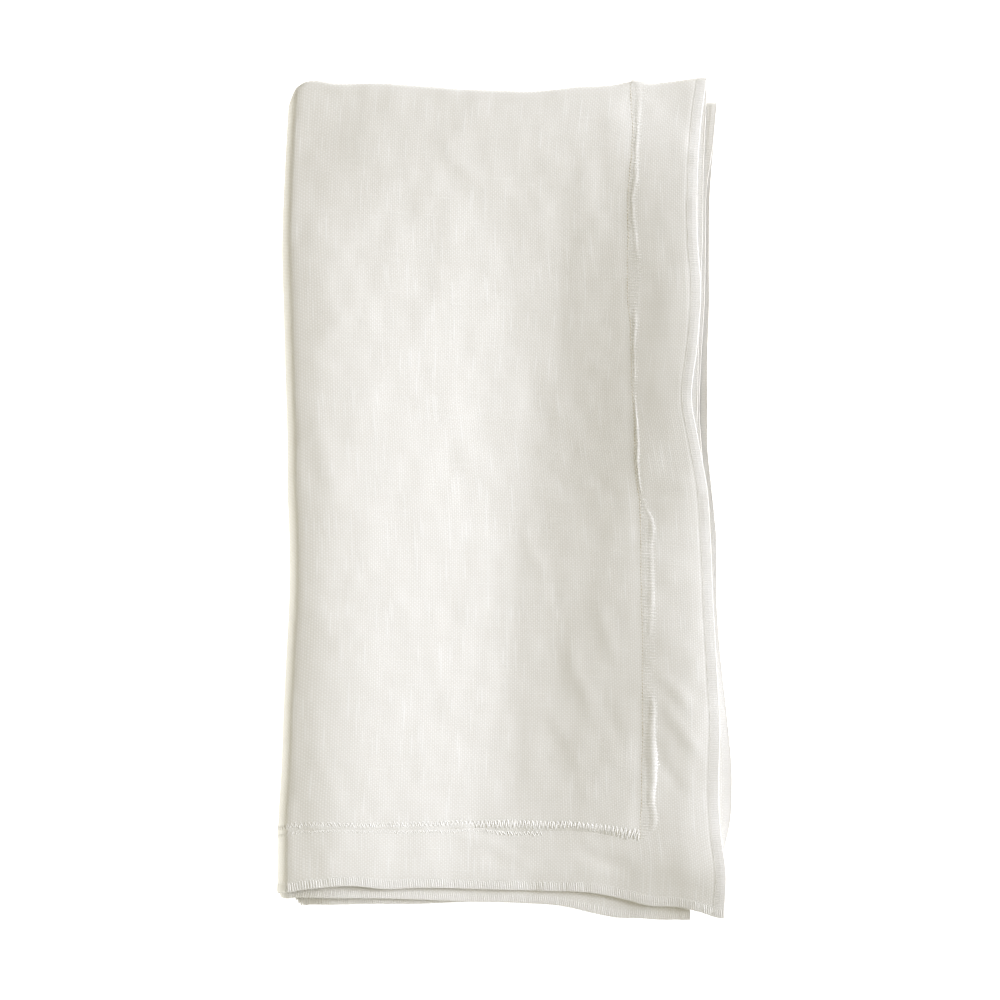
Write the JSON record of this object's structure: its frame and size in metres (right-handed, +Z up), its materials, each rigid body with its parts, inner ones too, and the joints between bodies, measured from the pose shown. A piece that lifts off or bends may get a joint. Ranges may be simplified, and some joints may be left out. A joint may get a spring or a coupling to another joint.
{
  "type": "folded cloth napkin",
  "caption": "Square linen napkin folded into a flat rectangular pack, creased along the top and left, with overlocked hems and a sewn tuck along the right and bottom.",
  "frame": {"origin": "on the surface the napkin lies on, under the middle of its outline", "axes": "+Z up out of the pack, +Y along its long side towards the first crease, +X across it towards the open hems"},
  "size_m": [0.1401, 0.2598, 0.0156],
  "materials": {
    "washed_linen": "matte off-white plain-weave linen"
  },
  "bodies": {
    "root": {"folded_napkin": "washed_linen"}
  },
  "joints": []
}
